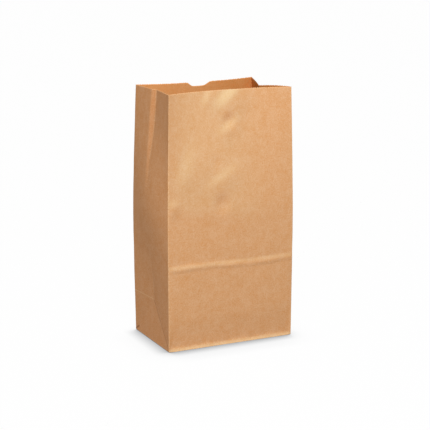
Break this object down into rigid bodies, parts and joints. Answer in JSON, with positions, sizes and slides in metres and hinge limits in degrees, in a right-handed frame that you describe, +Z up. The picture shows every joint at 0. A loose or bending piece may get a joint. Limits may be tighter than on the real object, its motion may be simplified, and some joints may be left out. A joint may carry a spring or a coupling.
{
  "type": "paper bag",
  "caption": "Small brown kraft paper lunch sack, popped open: flat folded bottom, gusseted sides, pinked rim with a thumb notch in the back panel.",
  "frame": {"origin": "middle of the bottom, on the surface that the sack stands on", "axes": "+Z up, towards the open rim; +X along the width, to the viewer's right when the front panel is faced; +Y from the front panel to the back panel"},
  "size_m": [0.1382, 0.0814, 0.2413],
  "materials": {
    "kraft_paper": "matt, uncoated"
  },
  "bodies": {
    "root": {"paper_bag": "kraft_paper"}
  },
  "joints": []
}
